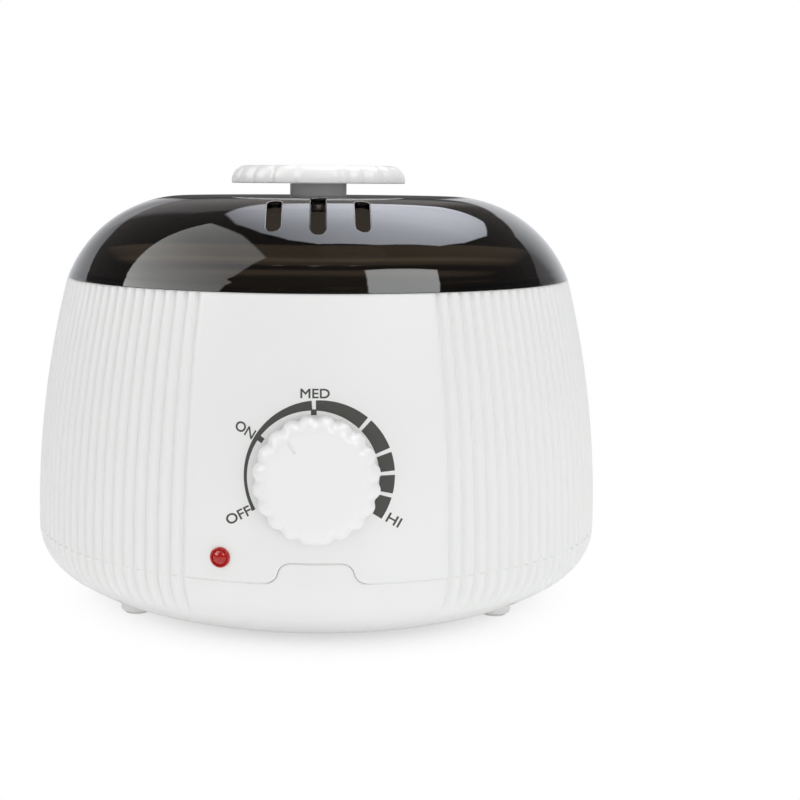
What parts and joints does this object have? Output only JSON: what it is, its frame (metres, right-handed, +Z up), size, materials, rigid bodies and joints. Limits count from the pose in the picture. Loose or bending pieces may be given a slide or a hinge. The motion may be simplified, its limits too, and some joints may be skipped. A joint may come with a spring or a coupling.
{
  "type": "wax warmer",
  "caption": "Round electric wax warmer: ribbed white housing with a scalloped temperature dial, a lift-out metal pot with a bail, and a smoked domed lid with a scalloped knob.",
  "frame": {"origin": "the point on the table under the centre of the round housing", "axes": "+Z up along the axis of the pot and lid; the dial faces -Y; the inlet bush is at +Y"},
  "size_m": [0.187, 0.2008, 0.1424],
  "materials": {
    "white_abs": "smooth moulded ABS with a soft gloss",
    "smoked_plastic": "clear smoked polycarbonate, glossy",
    "grey_plastic": "moulded, matt",
    "rubber_grey": "moulded rubber",
    "steel": "zinc-plated screws and sheet",
    "aluminium": "spun aluminium",
    "mica_band": "steel jacket of a mica band heater",
    "mineral_fibre": "pressed mineral fibre",
    "copper": "copper strip",
    "phenolic": "moulded phenolic",
    "nylon": "moulded nylon",
    "red_lens": "clear red acrylic",
    "lamp_glass": "neon lamp",
    "resistor_body": "lacquered ceramic",
    "brown_wire": "silicone lead",
    "blue_wire": "silicone lead",
    "white_wire": "silicone lead",
    "earth_wire": "silicone lead",
    "black_plastic": "moulded, heat resistant"
  },
  "bodies": {
    "housing": {"body_shell": "white_abs", "base_shell": "white_abs", "foot_pads": "rubber_grey", "base_screws": "steel", "inlet_bush": "rubber_grey", "heating_well": "aluminium", "well_screws": "steel", "heater_band": "mica_band", "band_screw": "steel", "band_nut": "steel", "insulation_wrap": "mineral_fibre", "heat_shield": "aluminium", "shield_spacer": "steel", "shield_nut": "steel", "thermal_fuse": "steel", "fuse_clip": "steel", "thermostat": "phenolic", "sensor_blade": "copper", "thermostat_washer": "steel", "thermostat_nut": "steel", "indicator_lens": "red_lens", "indicator_lamp": "lamp_glass", "lens_retainer": "steel", "lamp_resistor": "resistor_body", "terminal_block": "nylon", "terminal_screws": "steel", "block_screws": "steel", "live_lead": "brown_wire", "heater_lead": "brown_wire", "fuse_lead": "white_wire", "neutral_lead": "blue_wire", "lamp_leads": "white_wire", "earth_lead": "earth_wire"},
    "dial": {"thermostat_spindle": "steel", "dial_knob": "white_abs"},
    "pot": {"wax_pot": "aluminium", "pot_ears": "black_plastic"},
    "bail": {"pot_bail": "steel", "bail_bead": "black_plastic"},
    "lid": {"lid_dome": "smoked_plastic", "lid_stem": "grey_plastic", "lid_knob": "white_abs", "lid_screw": "steel", "lid_washer": "steel"}
  },
  "joints": [
    {"name": "dial_turn", "type": "hinge", "parent": "housing", "child": "dial", "pos_m": [0, -0.09203, 0.0554], "axis": [0, -0.9953, 0.0965], "range_deg": [-153.5, 81]},
    {"name": "pot_lift", "type": "slide", "parent": "housing", "child": "pot", "axis": [0, 0, 1], "range_m": [0, 0.06]},
    {"name": "lid_lift", "type": "slide", "parent": "pot", "child": "lid", "axis": [0, 0, 1], "range_m": [0, 0.15]},
    {"name": "bail_swing", "type": "hinge", "parent": "pot", "child": "bail", "pos_m": [0, 0, 0.1083], "axis": [1, 0, 0], "range_deg": [0, 180]}
  ],
  "couplings": [
    {"joint": "bail_swing", "follows": "lid_lift", "rad_per_m": 20.944}
  ]
}
